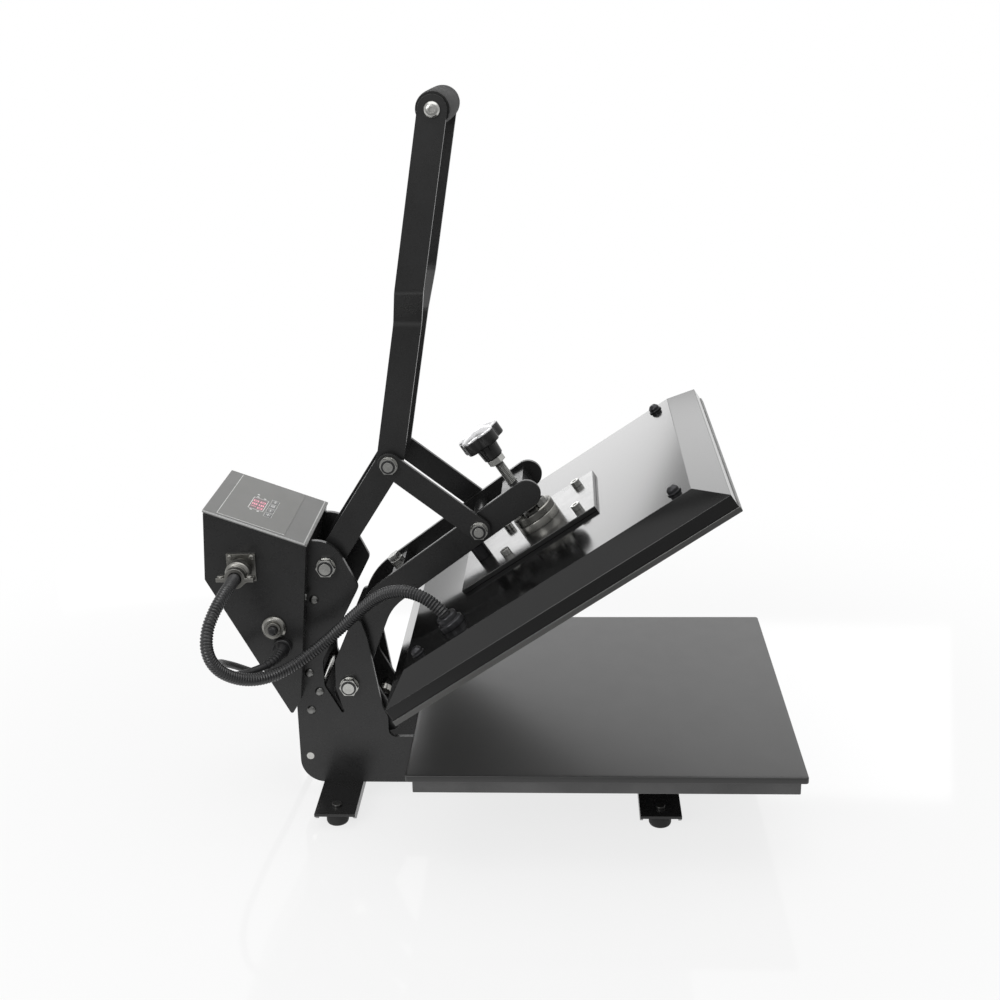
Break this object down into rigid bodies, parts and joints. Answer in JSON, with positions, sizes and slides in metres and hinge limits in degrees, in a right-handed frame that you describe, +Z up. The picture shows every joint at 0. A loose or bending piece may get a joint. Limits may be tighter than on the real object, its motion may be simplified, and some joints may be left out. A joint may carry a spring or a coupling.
{
  "type": "clamshell heat press",
  "caption": "Clamshell heat press with a square padded lower platen, a tilting heated upper platen, a toggle handle with bent levers and a rear control box.",
  "frame": {"origin": "middle of the object's footprint on the bench, without its mains cord", "axes": "+X towards the operator, +Y across the machine, +Z up"},
  "size_m": [0.5891, 0.38, 0.7262],
  "materials": {
    "black_steel": "satin powder coat",
    "zinc_steel": "bright zinc plate",
    "dark_steel": "dark oxide",
    "gloss_black": "gloss",
    "plate_aluminium": "machined",
    "board_aluminium": "dark cast, satin",
    "silicone": "matte",
    "foot_rubber": "matte",
    "grip_foam": "matte",
    "nickel": "satin nickel",
    "knob_plastic": "gloss",
    "knob_cap_metal": "polished",
    "panel_grey": "satin",
    "film_grey": "matte",
    "window": "clear dark",
    "key_plastic": "matte",
    "button_black": "gloss",
    "ribbed_black": "matte",
    "cord_rubber": "matte",
    "fibre_board": "matte",
    "electronics": "matte"
  },
  "bodies": {
    "base": {"side_plate_near": "black_steel", "side_plate_far": "black_steel", "foot_channels": "black_steel", "rubber_feet": "foot_rubber", "base_screws": "zinc_steel", "frame_spacers": "zinc_steel", "pivot_bolts": "zinc_steel", "platen_support_bars": "black_steel", "lower_platen": "board_aluminium", "silicone_pad": "silicone", "control_box": "black_steel", "control_panel": "panel_grey", "panel_film": "film_grey", "display_window": "window", "box_electronics": "electronics", "connector_flange": "nickel", "connector_body": "nickel", "connector_clamp": "nickel", "breaker_body": "nickel", "cable_gland": "button_black", "conduit": "ribbed_black", "mains_cord_run": "cord_rubber", "mains_cord_coil": "cord_rubber", "mains_plug": "cord_rubber"},
    "handle": {"handle_lever_near": "black_steel", "handle_lever_far": "black_steel", "handle_tubes": "black_steel", "knee_bolt": "zinc_steel", "grip": "grip_foam", "grip_bolt": "zinc_steel"},
    "link": {"link_near": "black_steel", "link_far": "black_steel", "link_end_bolts": "zinc_steel"},
    "arm": {"arm_near": "black_steel", "arm_far": "black_steel", "arm_cross_members": "black_steel", "arm_pins": "zinc_steel", "screw_block": "black_steel", "stop_bolt": "zinc_steel"},
    "platen": {"heating_plate": "plate_aluminium", "heating_element": "nickel", "insulation": "fibre_board", "platen_cover": "gloss_black", "mounting_plate": "dark_steel", "mounting_bolts": "zinc_steel", "screw_seat": "nickel", "guide_stud": "dark_steel", "cover_nuts": "dark_steel", "conduit_fitting": "dark_steel"},
    "screw": {"screw_rod": "zinc_steel", "screw_nuts": "zinc_steel", "knob": "knob_plastic", "knob_cap": "knob_cap_metal"},
    "strut_cylinder": {"strut_cylinder": "dark_steel"},
    "strut_rod": {"strut_rod": "nickel"},
    "breaker_button": {"breaker_button": "button_black"},
    "key_1": {"key_1": "key_plastic"},
    "key_2": {"key_2": "key_plastic"},
    "key_3": {"key_3": "key_plastic"},
    "key_4": {"key_4": "key_plastic"}
  },
  "joints": [
    {"name": "arm_hinge", "type": "hinge", "parent": "base", "child": "arm", "pos_m": [-0.1573, 0, 0.1324], "axis": [0, 1, 0], "range_deg": [0, 33.9], "stiffness_Nm_per_rad": 10, "springref_deg": -171.89, "deforming": ["conduit"]},
    {"name": "handle_hinge", "type": "hinge", "parent": "base", "child": "handle", "pos_m": [-0.1742, 0, 0.2646], "axis": [0, 1, 0], "range_deg": [0, 77.16]},
    {"name": "link_hinge", "type": "hinge", "parent": "handle", "child": "link", "pos_m": [-0.10641, 0, 0.37022], "axis": [0, 1, 0], "range_deg": [-101.36, 0]},
    {"name": "platen_slide", "type": "slide", "parent": "arm", "child": "platen", "axis": [0.5577, 0, -0.83], "range_m": [0, 0.01]},
    {"name": "screw_turn", "type": "hinge", "parent": "platen", "child": "screw", "pos_m": [0.0412, 0, 0.29713], "axis": [0.5577, 0, -0.83], "range_deg": [0, 2058.1]},
    {"name": "strut_swing", "type": "hinge", "parent": "base", "child": "strut_cylinder", "pos_m": [-0.2034, 0, 0.0495], "axis": [0, 1, 0], "range_deg": [-4.42, 0]},
    {"name": "strut_stroke", "type": "slide", "parent": "strut_cylinder", "child": "strut_rod", "axis": [0.8346, 0, 0.5508], "range_m": [-0.02508, 0]},
    {"name": "breaker_press", "type": "slide", "parent": "base", "child": "breaker_button", "axis": [0, 1, 0], "range_m": [0, 0.003], "stiffness_N_per_m": 300, "springref_m": -0.001},
    {"name": "key_1_press", "type": "slide", "parent": "base", "child": "key_1", "axis": [-0.342, 0, -0.9397], "range_m": [0, 0.0004], "stiffness_N_per_m": 1500, "springref_m": -0.0002},
    {"name": "key_2_press", "type": "slide", "parent": "base", "child": "key_2", "axis": [-0.342, 0, -0.9397], "range_m": [0, 0.0004], "stiffness_N_per_m": 1500, "springref_m": -0.0002},
    {"name": "key_3_press", "type": "slide", "parent": "base", "child": "key_3", "axis": [-0.342, 0, -0.9397], "range_m": [0, 0.0004], "stiffness_N_per_m": 1500, "springref_m": -0.0002},
    {"name": "key_4_press", "type": "slide", "parent": "base", "child": "key_4", "axis": [-0.342, 0, -0.9397], "range_m": [0, 0.0004], "stiffness_N_per_m": 1500, "springref_m": -0.0002}
  ],
  "couplings": [
    {"joint": "handle_hinge", "follows": "arm_hinge", "ratio": 2.2746},
    {"joint": "link_hinge", "follows": "arm_hinge", "ratio": -2.9884},
    {"joint": "strut_swing", "follows": "arm_hinge", "ratio": -0.12887},
    {"joint": "strut_stroke", "follows": "arm_hinge", "m_per_rad": -0.04231},
    {"joint": "screw_turn", "follows": "platen_slide", "rad_per_m": 3590.4}
  ]
}
